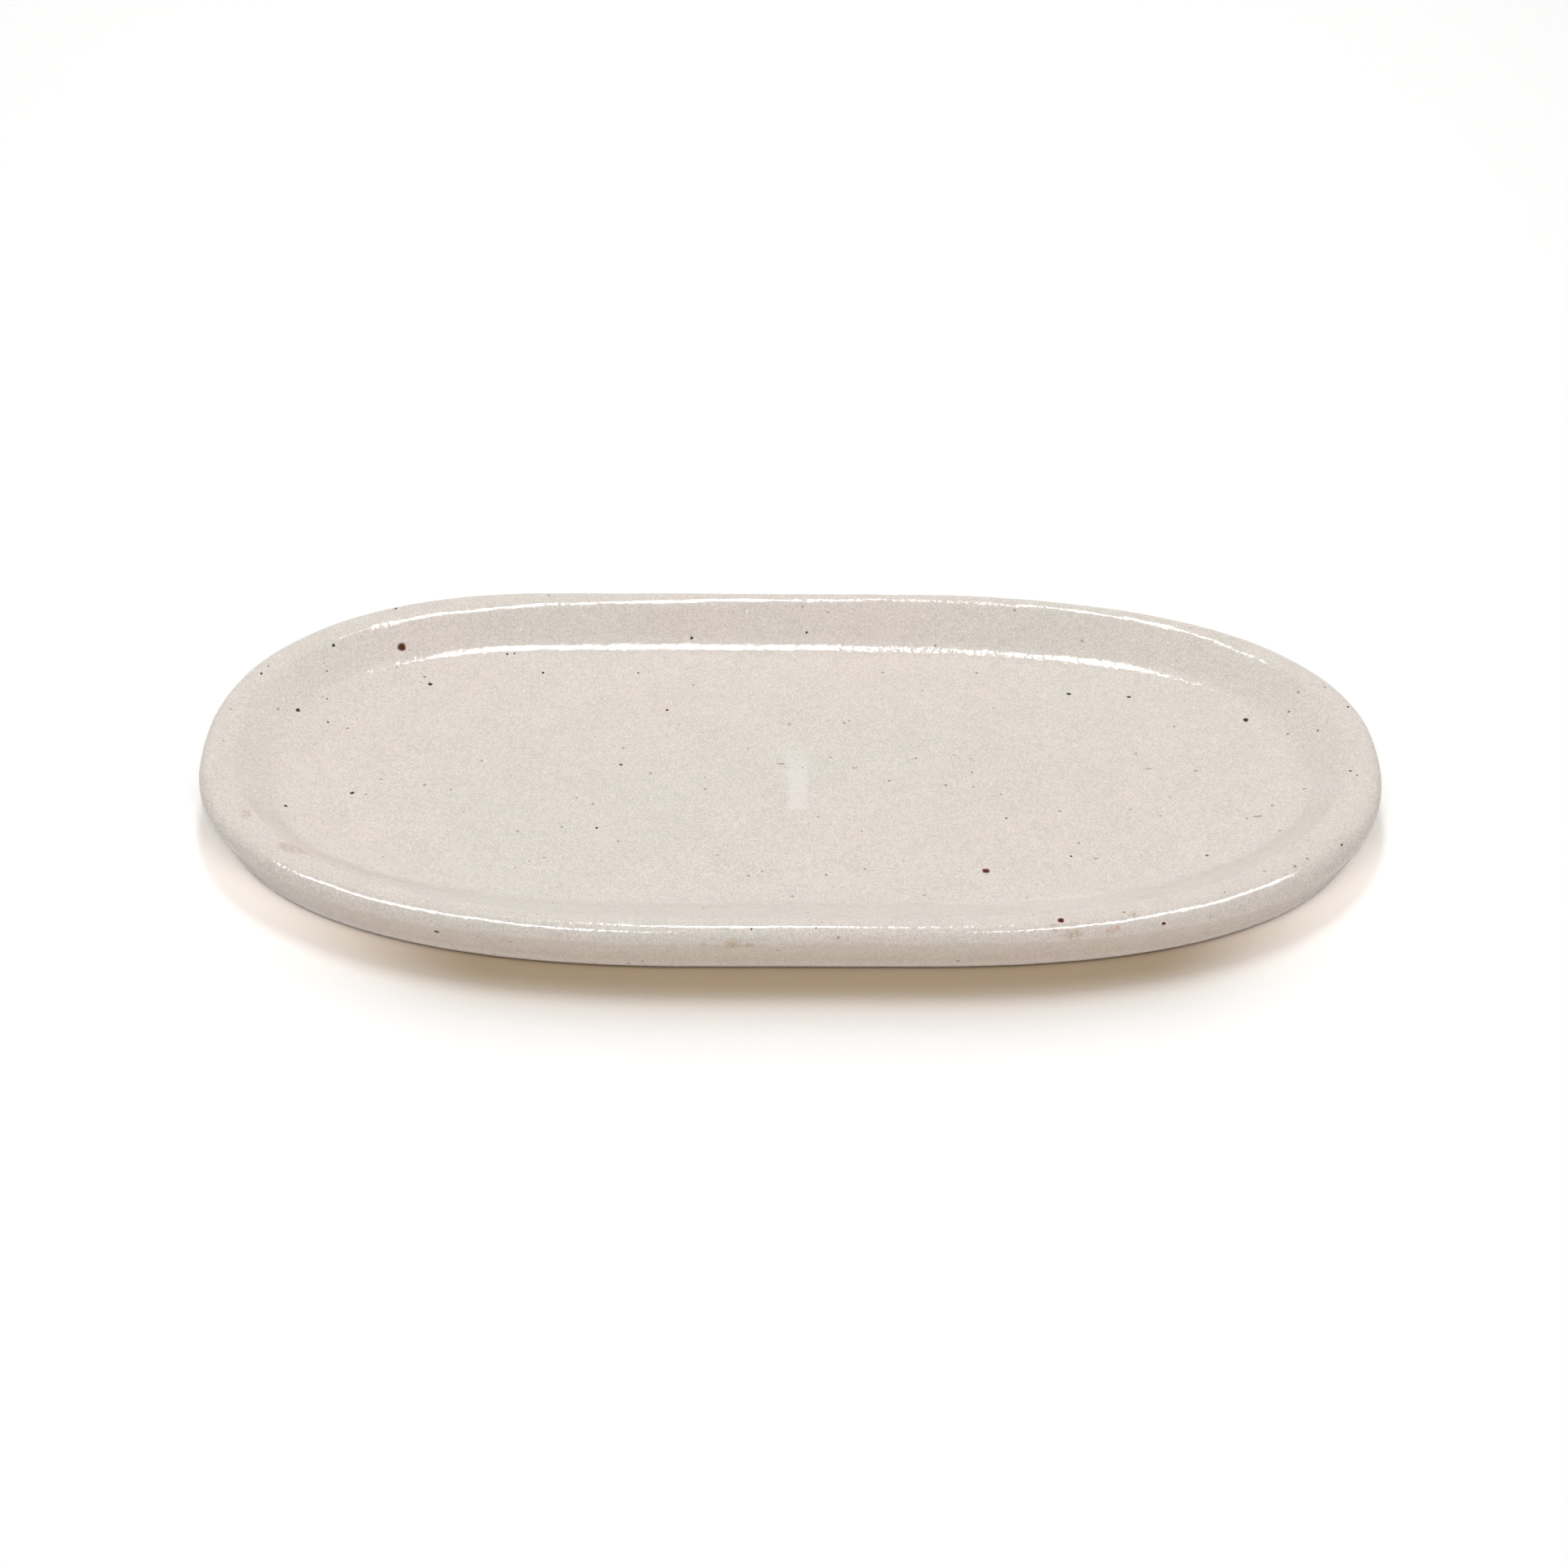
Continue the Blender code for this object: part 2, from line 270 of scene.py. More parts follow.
def floor_rows(ring, wall, depth, steps_near, steps_far):
    """Points from the fillet's end to the middle of the floor.

    Near rings run in across the rise, which falls off as the square of what is left of its width. The
    far rings are the last near ring drawn in towards the middle in equal shares, on the flat.
    """
    bearing = ring[4]
    *_, rise, rise_width = sizes_round(bearing)
    share = np.linspace(0, 1, steps_near + 1)[1:, None]
    level = FLOOR_HEIGHT - depth
    start = wall[-1]
    drop = start[:, 2] - level
    out = np.stack([ring[2], ring[3]], axis=-1)
    near = np.empty((steps_near, len(bearing), 3))
    near[..., :2] = start[:, :2] - (rise_width * share)[..., None] * out
    near[..., 2] = level + drop * (1 - share) ** 2
    pull = np.linspace(1, 0, steps_far + 1)[1:-1, None, None]
    far = near[-1][None] * pull
    far[..., 2] = level
    return np.concatenate([near, far])


def ring_points(ring, inset, height):
    """The section rows set on the outline: outline point less inset times outward direction."""
    x, y, out_x, out_y, _ = ring
    return np.stack([x - inset * out_x, y - inset * out_y, height + 0 * inset], axis=-1)


def skin(name, rows, first_pole, last_pole):
    """A closed mesh of rings: quads between rings, and a fan of triangles to the pole at each end."""
    count, around = rows.shape[:2]
    points = np.concatenate([rows.reshape(-1, 3), [first_pole, last_pole]])
    bottom = count * around
    top = bottom + 1
    here = np.arange(around)
    after = (here + 1) % around
    lower = np.arange(count - 1)[:, None] * around
    upper = lower + around
    quads = np.stack([lower + here, lower + after, upper + after, upper + here], axis=-1).reshape(-1, 4)
    last = (count - 1) * around
    triangles = np.concatenate(
        [
            np.stack([after, here, np.full(around, bottom)], axis=-1),
            np.stack([last + here, last + after, np.full(around, top)], axis=-1),
        ]
    )
    mesh = bpy.data.meshes.new(name)
    corners = np.concatenate([quads.ravel(), triangles.ravel()]).astype(np.int32)
    sizes = np.concatenate([np.full(len(quads), 4), np.full(len(triangles), 3)])
    mesh.vertices.add(len(points))
    mesh.vertices.foreach_set("co", points.astype(np.float32).ravel())
    mesh.loops.add(len(corners))
    mesh.loops.foreach_set("vertex_index", corners)
    mesh.polygons.add(len(sizes))
    starts = np.concatenate([[0], np.cumsum(sizes)[:-1]]).astype(np.int32)
    mesh.polygons.foreach_set("loop_start", starts)
    mesh.update(calc_edges=True)
    mesh.validate()
    mesh.shade_smooth()
    piece = bpy.data.objects.new(name, mesh)
    bpy.context.scene.collection.objects.link(piece)
    return piece


def glaze_skin(ring):
    """The coat of glaze, which closes on itself at the glaze line.

    Its back runs from the middle out to the glaze line, and its face from there over the rim and in to
    the middle. The waves move the face along the way that it faces.
    """
    bearing = ring[4]
    inset, height, facing = wall_section(bearing, 0.0, FACE_DETAIL)
    lift = hand_waves(bearing, len(inset))
    lift *= np.sin(np.linspace(0, math.pi, len(inset)))[:, None] ** WAVE_FADE_POWER
    inset = np.maximum(inset - lift * np.cos(facing), SHY_OF_LIMIT)
    height = np.minimum(height + lift * np.sin(facing), HEIGHT - SHY_OF_LIMIT / 2)
    face_wall = ring_points(ring, inset, height)
    face_floor = floor_rows(ring, face_wall, 0.0, FACE_RINGS_NEAR, FACE_RINGS_FAR)
    back_inset, back_height, _ = wall_section(bearing, GLAZE_THICKNESS, HIDDEN_DETAIL)
    back_wall = ring_points(ring, back_inset, back_height)
    back_floor = floor_rows(ring, back_wall, GLAZE_THICKNESS, HIDDEN_RINGS_NEAR, HIDDEN_RINGS_FAR)
    back = np.concatenate([back_wall, back_floor])
    rows = np.concatenate([back[::-1], face_wall, face_floor])
    back_middle, face_middle = [0.0, 0.0, FLOOR_HEIGHT - GLAZE_THICKNESS], [0.0, 0.0, FLOOR_HEIGHT]
    return skin("speckled_glaze_coat", rows, back_middle, face_middle)


def clay_slab(ring):
    """The fired clay, from the middle of the flat foot round the wall to the middle of the floor.

    The foot curve is an arc that starts flat, and the underside is its first ring drawn in to the
    middle.
    """
    bearing = ring[4]
    inset, height, _ = wall_section(bearing, COAT_DEPTH, HIDDEN_DETAIL)
    radius = FOOT_CURVE_RADIUS
    ones = np.ones(len(bearing))
    foot_centre = inset[0] + radius * math.cos(GLAZE_LINE_SLOPE)
    flat, glaze_line = -math.pi / 2 * ones, -GLAZE_LINE_SLOPE * ones
    low_inset, low_height, _ = arc(foot_centre, radius, radius, flat, glaze_line, FOOT_CURVE_STEPS)
    inset = np.concatenate([low_inset[:-1], inset])
    height = np.concatenate([low_height[:-1], height])
    wall = ring_points(ring, inset, height)
    pull = np.linspace(0, 1, UNDERSIDE_STEPS + 1)[1:-1, None, None]
    under = wall[0][None] * pull
    under[..., 2] = 0.0
    floor = floor_rows(ring, wall, COAT_DEPTH, HIDDEN_RINGS_NEAR, HIDDEN_RINGS_FAR)
    rows = np.concatenate([under, wall, floor])
    return skin("bare_clay_slab", rows, [0.0, 0.0, 0.0], [0.0, 0.0, FLOOR_HEIGHT - COAT_DEPTH])


# Camera, as the photograph was taken: turns, distance, focal length and where the origin falls
CAMERA_RISE = math.radians(38)
CAMERA_TURN = math.radians(1.04)
CAMERA_ROLL = math.radians(0.8)
CAMERA_DISTANCE = 0.6974
FOCAL_PIXELS = 4000.0
ORIGIN_RIGHT_PIXELS = 8.4
ORIGIN_DOWN_PIXELS = 23.8
SENSOR_MM = 36.0


def camera_axes():
    """Camera place and its right, up and forward directions, looking at the origin and rolled."""
    rise_cos, rise_sin = math.cos(CAMERA_RISE), math.sin(CAMERA_RISE)
    turn_cos, turn_sin = math.cos(CAMERA_TURN), math.sin(CAMERA_TURN)
    forward = Vector((rise_cos * turn_sin, rise_cos * turn_cos, -rise_sin))
    level_right = Vector((turn_cos, -turn_sin, 0.0))
    level_up = level_right.cross(forward)
    right = math.cos(CAMERA_ROLL) * level_right + math.sin(CAMERA_ROLL) * level_up
    up = math.cos(CAMERA_ROLL) * level_up - math.sin(CAMERA_ROLL) * level_right
    return -CAMERA_DISTANCE * forward, right, up, forward


def set_camera():
    place, right, up, forward = camera_axes()
    lens = bpy.data.cameras.new("viewpoint")
    lens.sensor_width = SENSOR_MM
    lens.lens = SENSOR_MM * FOCAL_PIXELS / PHOTO_SIDE
    lens.shift_x = -ORIGIN_RIGHT_PIXELS / PHOTO_SIDE
    lens.shift_y = ORIGIN_DOWN_PIXELS / PHOTO_SIDE
    camera = bpy.data.objects.new("viewpoint", lens)
    bpy.context.scene.collection.objects.link(camera)
    turn = Matrix((right, up, -forward)).transposed().to_4x4()
    camera.matrix_world = Matrix.Translation(place) @ turn
    bpy.context.scene.camera = camera


def seen_at(pixel_x, pixel_y):
    """Where the line of sight through a pixel of the photograph sets out, and its direction."""
    place, right, up, forward = camera_axes()
    across = (pixel_x - PHOTO_SIDE / 2 - ORIGIN_RIGHT_PIXELS) / FOCAL_PIXELS
    down = (pixel_y - PHOTO_SIDE / 2 - ORIGIN_DOWN_PIXELS) / FOCAL_PIXELS
    return place, (forward + across * right - down * up).normalized()


# The middle of a noise's values, which ramps run over
NOISE_LOW = 0.3
NOISE_HIGH = 0.7
# Where a pinhead's edge starts and ends, as shares of the spacing, outwards and inwards
PINHEAD_EDGE = (-0.02, 0.03)
SHAKE_SPACING = 0.5 * MM


class Finish:
    """One procedural material: add() makes a node, sets or links its inputs, and gives an output."""

    def __init__(self, name):
        self.material = bpy.data.materials.new(name)
        self.material.use_nodes = True
        self.tree = self.material.node_tree
        self.shader = self.tree.nodes["Principled BSDF"]
        self.place = self.add("ShaderNodeTexCoord", out="Object")

    def put(self, socket, value):
        if isinstance(value, bpy.types.NodeSocket):
            self.tree.links.new(value, socket)
        else:
            socket.default_value = value

    def add(self, kind, *values, out=0, **settings):
        node = self.tree.nodes.new(kind)
        inputs = settings.pop("inputs", {})
        for name, value in settings.items():
            setattr(node, name, value)
        for index, value in enumerate(values):
            self.put(node.inputs[index], value)
        for name, value in inputs.items():
            self.put(node.inputs[name], value)
        return node.outputs[out]

    def math(self, operation, *values, clamp=False):
        return self.add("ShaderNodeMath", *values, operation=operation, use_clamp=clamp)

    def noise(self, wavelength, detail=2.0, place=None, out="Fac"):
        """Noise whose lumps are about one wavelength apart."""
        settings = {"Vector": place or self.place, "Scale": 1 / wavelength, "Detail": detail}
        return self.add("ShaderNodeTexNoise", inputs=settings, out=out)

    def ramp(self, value, low, high, at_low=0.0, at_high=1.0):
        """Smooth step of value from low to high, giving at_low to at_high."""
        inputs = {"Value": value, "From Min": low, "From Max": high, "To Min": at_low, "To Max": at_high}
        return self.add("ShaderNodeMapRange", inputs=inputs, interpolation_type="SMOOTHSTEP")

    def across_noise(self, noise, at_low=0.0, at_high=1.0):
        """Smooth step over the middle of a noise's values, giving at_low to at_high."""
        return self.ramp(noise, NOISE_LOW, NOISE_HIGH, at_low, at_high)

    def blend(self, share, under, over):
        """Colour mix: under where share is 0, over where it is 1."""
        node = self.tree.nodes.new("ShaderNodeMix")
        node.data_type = "RGBA"
        self.put(node.inputs[0], share)
        self.put(node.inputs[6], under)
        self.put(node.inputs[7], over)
        return node.outputs[2]

    def scale(self, vector, value):
        """Colour or vector times a number."""
        return self.add("ShaderNodeVectorMath", vector, inputs={"Scale": value}, operation="SCALE")

    def part_of_place(self, axis):
        return self.add("ShaderNodeSeparateXYZ", self.place, out=axis)

    def shaken(self, distance):
        """The place, moved up to about this distance by fine noise, so that edges come out ragged."""
        noise = self.noise(SHAKE_SPACING, out="Color")
        shake = self.add("ShaderNodeVectorMath", noise, (0.5, 0.5, 0.5), operation="SUBTRACT")
        return self.add("ShaderNodeVectorMath", self.place, self.scale(shake, distance), operation="ADD")

    def pinheads(self, spacing, lowest_chance, largest):
        """Small round spots scattered at a spacing, as a mask and each spot's own chance from 0 to 1.

        A spot's size grows from nothing at the lowest chance to the largest, as a share of the spacing.
        """
        cells = self.tree.nodes.new("ShaderNodeTexVoronoi")
        self.put(cells.inputs["Vector"], self.place)
        cells.inputs["Scale"].default_value = 1 / spacing
        chance = self.add("ShaderNodeSeparateColor", cells.outputs["Color"], out="Red")
        size = self.ramp(chance, lowest_chance, 1.0, 0.0, largest)
        inside = self.math("SUBTRACT", size, cells.outputs["Distance"])
        return self.ramp(inside, *PINHEAD_EDGE), chance

    def bump(self, height, distance, normal=None):
        inputs = {"Strength": 1.0, "Distance": distance, "Height": height}
        if normal is not None:
            inputs["Normal"] = normal
        return self.add("ShaderNodeBump", inputs=inputs)


# Iron specks, as (pixel across, pixel down in the photograph, diameter in mm)
DARK_SPECKS = (
    (367, 875, 1.05),
    (434, 977, 0.95),
    (352, 993, 0.80),
    (530, 843, 1.00),
    (669, 829, 0.70),
    (786, 829, 0.50),
    (1535, 887, 1.15),
    (1317, 855, 0.95),
    (1391, 859, 0.90),
    (1487, 1054, 0.70),
    (1320, 1055, 0.55),
    (735, 1020, 0.60),
    (681, 1112, 0.55),
    (1018, 1078, 0.50),
    (852, 786, 0.70),
    (994, 779, 0.60),
    (411, 795, 0.80),
    (322, 830, 0.80),
    (1664, 950, 0.60),
    (1240, 1008, 0.50),
    (926, 1145, 0.45),
    (1005, 1143, 0.45),
    (1661, 871, 0.60),
    (1653, 1041, 0.60),
    (1046, 888, 0.45),
    (1624, 900, 0.55),
    (1672, 955, 0.40),
    (1588, 877, 0.50),
    (625, 806, 0.50),
    (634, 805, 0.50),
    (523, 834, 0.45),
    (403, 861, 0.45),
    (404, 890, 0.50),
    (488, 750, 0.65),
    (538, 1148, 1.05),
)
BROWN_SPECKS = ((495, 797, 2.00),)
RED_SPECKS = (
    (1215, 1073, 1.65),
    (1307, 1134, 1.35),
    (822, 875, 0.75),
    (765, 942, 0.70),
    (1434, 1138, 0.80),
)
LONG_SPECKS = ((1549, 1006, 0.9), (962, 941, 0.8), (1053, 946, 0.6), (1415, 947, 0.7), (1607, 972, 0.6))
# Fainter marks, as (pixel across, pixel down in the photograph, diameter in mm)
BROWN_SMUDGES = (
    (903, 1164, 4.0),
    (923, 1165, 2.4),
    (867, 1164, 1.6),
    (1322, 1150, 4.5),
    (1300, 1143, 2.4),
    (1397, 1127, 2.0),
    (618, 1158, 1.5),
    (628, 1160, 1.5),
)
RED_SMUDGES = ((1365, 1149, 1.6), (1371, 1146, 1.5), (1378, 1144, 1.2), (377, 1051, 1.8))
PINK_SMUDGES = ((303, 1003, 3.0), (362, 1045, 5.0), (352, 1042, 3.5), (372, 1049, 3.5))

# The painted reflection on the floor, a pale smear: the pixel of its front end, its size, how far its
# sides wander, the shares of its half width and length at which it starts to fade, and how much it
# covers
PAINTED_REFLECTION_LOW_END = (983, 998)
PAINTED_REFLECTION_LENGTH = 25 * MM
PAINTED_REFLECTION_HALF_WIDTH = 2.7 * MM
PAINTED_REFLECTION_WANDER = 0.25 * MM
PAINTED_REFLECTION_FRONT_FADE = 0.7 * MM
PAINTED_REFLECTION_FADE_SHARE = 0.45
PAINTED_REFLECTION_COVER = (0.36, 0.60)

# Colours
GLAZE_COLOUR = (0.735, 0.671, 0.613, 1.0)
PINK_GLAZE = (0.753, 0.668, 0.610, 1.0)
GREEN_GLAZE = (0.722, 0.681, 0.610, 1.0)
# Pale bluish band low on the outer wall: part pooled glaze, part painted light from the white table
# below
POOLED_GLAZE_AND_PAINTED_LIGHT = (0.87, 0.86, 0.86, 1.0)
THIN_GLAZE = (0.50, 0.37, 0.25, 1.0)
PINK_STAIN = (0.54, 0.41, 0.34, 1.0)
RED_GLAZE = (0.62, 0.26, 0.17, 1.0)
# Colour of the painted reflection, a pale smear on the floor
PAINTED_REFLECTION_COLOUR = (0.86, 0.83, 0.79, 1.0)
IRON_BLACK = (0.018, 0.010, 0.006, 1.0)
IRON_DUST = (0.090, 0.052, 0.030, 1.0)
IRON_RED = (0.110, 0.007, 0.008, 1.0)
IRON_BROWN = (0.075, 0.022, 0.004, 1.0)
CLAY_DARK = (0.50, 0.37, 0.25, 1.0)
CLAY_LIGHT = (0.56, 0.43, 0.31, 1.0)
CLAY_GRAIN = (0.10, 0.06, 0.04, 1.0)

# Glaze. The mottle is given as (distance between lumps, share by which it lightens and darkens).
DRIFT_SPACING = 42 * MM
MOTTLE = ((0.40 * MM, 0.118), (1.5 * MM, 0.027), (9 * MM, 0.014))
# Heights and share of the pale band at the wall's foot: pooled glaze and painted light
POOLED_AND_LIT_HEIGHTS = (5.0 * MM, 1.4 * MM)
POOLED_AND_LIT_SHARE = 0.9
GLAZE_ROUGHNESS = (0.06, 0.09)
GLAZE_IOR = 1.5
PEEL_SPACING = 1.20 * MM
PEEL_DEPTH = 0.08 * MM
RIPPLE_SPACING = 3.0 * MM
RIPPLE_DEPTH = 0.08 * MM

# Smudges: how much each kind covers, how ragged they are and where they fade, as shares of the radius
SMUDGE_SHAKE = 1.6 * MM
SMUDGE_FADE = (0.25, 1.25)
BROWN_COVER = 0.75
RED_COVER = 0.60
PINK_COVER = 0.75

# Specks: a pinhead of iron every few millimetres, and how much the pinheads and the long specks cover
PIN_SPACING = 3.0 * MM
PIN_LOWEST_CHANCE = 0.45
PIN_LARGEST = 0.125
PIN_COVER = (0.08, 0.55)
SPECK_SHAKE = 0.60 * MM
SPECK_FADE = (0.65, 1.25)
DARK_COVER = 0.96
LONG_COVER = 0.60
COLOURED_COVER = 0.98
LONG_SPECK_SQUEEZE = (0.45, 1.6, 1.0)

# Clay
CLAY_GRAIN_SPACING = 0.5 * MM
CLAY_SMEAR_SPACING = 14 * MM
CLAY_SPECK_SPACING = 2.1 * MM
CLAY_SAND_DEPTH = 0.12 * MM
CLAY_ROUGHNESS = (0.78, 0.92)


def spots(finish, place, surface, specks, fade, squeeze=(1.0, 1.0, 1.0)):
    """Mask of spots where the photograph shows them, round until squeezed.

    It is 1 inside the first of the two fade radii and 0 outside the second.
    """
    core, rim = fade
    mask = 0.0
    squeezed = finish.add("ShaderNodeVectorMath", place, squeeze, operation="MULTIPLY")
    for pixel_x, pixel_y, diameter in specks:
        start, direction = seen_at(pixel_x, pixel_y)
        hit = surface.ray_cast(start, direction)[0]
        if hit is None:
            continue
        centre = Vector(a * b for a, b in zip(hit, squeeze))
        away = finish.add("ShaderNodeVectorMath", squeezed, centre, operation="DISTANCE", out="Value")
        radius = diameter * MM / 2
        spot = finish.ramp(away, radius * core, radius * rim, 1.0, 0.0)
        mask = spot if mask == 0.0 else finish.math("MAXIMUM", mask, spot)
    return mask


def painted_reflection(finish, surface):
    """Mask of a painted reflection on the floor, a pale smear: a sharp front end, and fading out towards
    the back.
    """
    start, direction = seen_at(*PAINTED_REFLECTION_LOW_END)
    end = surface.ray_cast(start, direction)[0]
    wander = finish.across_noise(finish.noise(2 * MM), -PAINTED_REFLECTION_WANDER, PAINTED_REFLECTION_WANDER)
    across = finish.math("SUBTRACT", finish.part_of_place("X"), end.x)
    across = finish.math("ABSOLUTE", finish.math("ADD", across, wander))
    along = finish.math("SUBTRACT", finish.part_of_place("Y"), end.y)
    sides = finish.ramp(across, PAINTED_REFLECTION_HALF_WIDTH, PAINTED_REFLECTION_HALF_WIDTH * PAINTED_REFLECTION_FADE_SHARE)
    front = finish.ramp(along, 0.0, PAINTED_REFLECTION_FRONT_FADE)
    back = finish.ramp(along, PAINTED_REFLECTION_LENGTH, PAINTED_REFLECTION_LENGTH * PAINTED_REFLECTION_FADE_SHARE)
    reflection_cover_noise = finish.across_noise(finish.noise(0.8 * MM, 3.0), *PAINTED_REFLECTION_COVER)
    ends = finish.math("MULTIPLY", front, back)
    return finish.math("MULTIPLY", finish.math("MULTIPLY", sides, ends), reflection_cover_noise)


def mottled_glaze(f):
    """The glaze's colour: slow drifts of tint, paler low down on the outer wall from pooled glaze and
    painted light of the table below, and fine mottle.
    """
    drift = f.ramp(f.noise(DRIFT_SPACING, 1.0), 0.38, 0.62)
    colour = f.blend(0.5, f.blend(drift, GREEN_GLAZE, PINK_GLAZE), GLAZE_COLOUR)
    # Paler low down on the outer wall: pooled glaze, and painted light from the table below.
    pooled_and_lit = f.ramp(f.part_of_place("Z"), *POOLED_AND_LIT_HEIGHTS, 0.0, POOLED_AND_LIT_SHARE)
    colour = f.blend(pooled_and_lit, colour, POOLED_GLAZE_AND_PAINTED_LIGHT)
    shade = 1.0
    for spacing, share in MOTTLE:
        shade = f.math("ADD", shade, f.across_noise(f.noise(spacing), -share, share))
    return f.scale(colour, shade)


def smudged(f, surface, colour):
    """The colour with smudges where the glaze is thin or stained, broken up by the grain."""
    place = f.shaken(SMUDGE_SHAKE)
    broken = f.ramp(f.noise(0.7 * MM), 0.40, 0.60, 0.35, 1.0)
    for marks, stain, cover in (
        (BROWN_SMUDGES, THIN_GLAZE, BROWN_COVER),
        (RED_SMUDGES, RED_GLAZE, RED_COVER),
        (PINK_SMUDGES, PINK_STAIN, PINK_COVER),
    ):
        smudge = spots(f, place, surface, marks, SMUDGE_FADE)
        colour = f.blend(f.math("MULTIPLY", smudge, f.math("MULTIPLY", broken, cover)), colour, stain)
    return colour


def glaze_finish(surface):
    """Glossy warm white glaze with smudges, a painted reflection on the floor, iron specks and an
    orange-peel skin.
    """
    f = Finish("speckled_glaze")
    colour = smudged(f, surface, mottled_glaze(f))
    # Painted reflection: a pale smear on the floor, painted where the glaze mirrors something bright.
    colour = f.blend(painted_reflection(f, surface), colour, PAINTED_REFLECTION_COLOUR)

    # Most of the pinheads are too faint to notice.
    pin, chance = f.pinheads(PIN_SPACING, PIN_LOWEST_CHANCE, PIN_LARGEST)
    pin = f.math("MULTIPLY", pin, f.ramp(chance, PIN_LOWEST_CHANCE, 0.98, *PIN_COVER))
    colour = f.blend(pin, colour, IRON_DUST)

    place = f.shaken(SPECK_SHAKE)
    dark = spots(f, place, surface, DARK_SPECKS, SPECK_FADE)
    brown = spots(f, place, surface, BROWN_SPECKS, SPECK_FADE)
    red = spots(f, place, surface, RED_SPECKS, SPECK_FADE)
    dash = spots(f, place, surface, LONG_SPECKS, SPECK_FADE, LONG_SPECK_SQUEEZE)
    for mask, cover, iron in (
        (dark, DARK_COVER, IRON_BLACK),
        (dash, LONG_COVER, IRON_BLACK),
        (brown, COLOURED_COVER, IRON_BROWN),
        (red, COLOURED_COVER, IRON_RED),
    ):
        colour = f.blend(f.math("MULTIPLY", mask, cover), colour, iron)
    f.put(f.shader.inputs["Base Color"], colour)
    # The iron mirrors its own dark colour, where the glass round it mirrors white.
    f.put(f.shader.inputs["Metallic"], f.math("MAXIMUM", dark, f.math("MAXIMUM", brown, red)))

    f.put(f.shader.inputs["Roughness"], f.across_noise(f.noise(6 * MM), *GLAZE_ROUGHNESS))
    f.shader.inputs["IOR"].default_value = GLAZE_IOR
    peel = f.bump(f.noise(PEEL_SPACING, 3.0), PEEL_DEPTH)
    f.put(f.shader.inputs["Normal"], f.bump(f.noise(RIPPLE_SPACING, 1.0), RIPPLE_DEPTH, peel))
    return f.material


def clay_finish():
    """Bare fired clay: sandy, matt, with darker grains and faint smears from the sponge."""
    f = Finish("bare_stoneware")
    grain = f.noise(CLAY_GRAIN_SPACING, 4.0)
    colour = f.blend(f.across_noise(f.noise(CLAY_SMEAR_SPACING, 3.0)), CLAY_DARK, CLAY_LIGHT)
    colour = f.scale(colour, f.ramp(grain, 0.25, 0.75, 0.86, 1.12))
    speck, _ = f.pinheads(CLAY_SPECK_SPACING, 0.6, 0.16)
    colour = f.blend(f.math("MULTIPLY", speck, 0.75), colour, CLAY_GRAIN)
    f.put(f.shader.inputs["Base Color"], colour)
    f.put(f.shader.inputs["Roughness"], f.across_noise(grain, *CLAY_ROUGHNESS))
    f.put(f.shader.inputs["Normal"], f.bump(grain, CLAY_SAND_DEPTH))
    return f.material


# Table: its colours as light that it throws back and as it is seen, in the open and in its shade.
# The shade lies where the table is closed in by the tray, from just behind the middle to the front.
TABLE_BOUNCE = (0.90, 0.885, 0.87, 1.0)
TABLE_SEEN = (1.06, 1.06, 1.06, 1.0)
SHADE_BOUNCE = (0.84, 0.70, 0.60, 1.0)
SHADE_SEEN = (0.56, 0.445, 0.312, 1.0)
SIDE_SHADE_SEEN = (1.60, 1.50, 1.42, 1.0)
SHADE_REACH = 45 * MM
SHADE_OPENNESS = (0.99, 0.43)
SHADE_ALONG = (5 * MM, -28 * MM)
SHADE_LEFT = (-122 * MM, -60 * MM)
SHADE_RIGHT = (124 * MM, 70 * MM)
TABLE_REACH = 0.7
TABLE_DROP = -0.05 * MM


def table(name):
    """The plain white table under the tray, which warms and darkens close in along the tray's front."""
    sides = ((-1, -1), (1, -1), (1, 1), (-1, 1))
    corners = [(x * TABLE_REACH, y * TABLE_REACH, TABLE_DROP) for x, y in sides]
    mesh = bpy.data.meshes.new(name)
    mesh.from_pydata(corners, [], [(0, 1, 2, 3)])
    piece = bpy.data.objects.new(name, mesh)
    bpy.context.scene.collection.objects.link(piece)
    f = Finish(name)
    across, along = f.part_of_place("X"), f.part_of_place("Y")
    reach = {"Distance": SHADE_REACH}
    openness = f.add("ShaderNodeAmbientOcclusion", inputs=reach, out="AO", samples=16)
    closed = f.math("MULTIPLY", f.ramp(openness, *SHADE_OPENNESS), f.ramp(along, *SHADE_ALONG))
    middle = f.math("MULTIPLY", f.ramp(across, *SHADE_LEFT), f.ramp(across, *SHADE_RIGHT))
    bounce = f.blend(f.math("MULTIPLY", closed, middle), TABLE_BOUNCE, SHADE_BOUNCE)
    seen = f.blend(closed, TABLE_SEEN, f.blend(middle, SIDE_SHADE_SEEN, SHADE_SEEN))
    bounce, seen = f.add("ShaderNodeBsdfDiffuse", bounce), f.add("ShaderNodeBsdfDiffuse", seen)
    path = f.tree.nodes.new("ShaderNodeLightPath")
    surface = f.add("ShaderNodeMixShader", path.outputs["Is Camera Ray"], bounce, seen)
    f.put(f.tree.nodes["Material Output"].inputs["Surface"], surface)
    f.tree.nodes.remove(f.shader)
    mesh.materials.append(f.material)
    return piece


FILL_COLOUR = (1.0, 0.985, 0.965, 1.0)
FILL_STRENGTH = 0.25
WHITE = (1.0, 1.0, 1.0, 1.0)

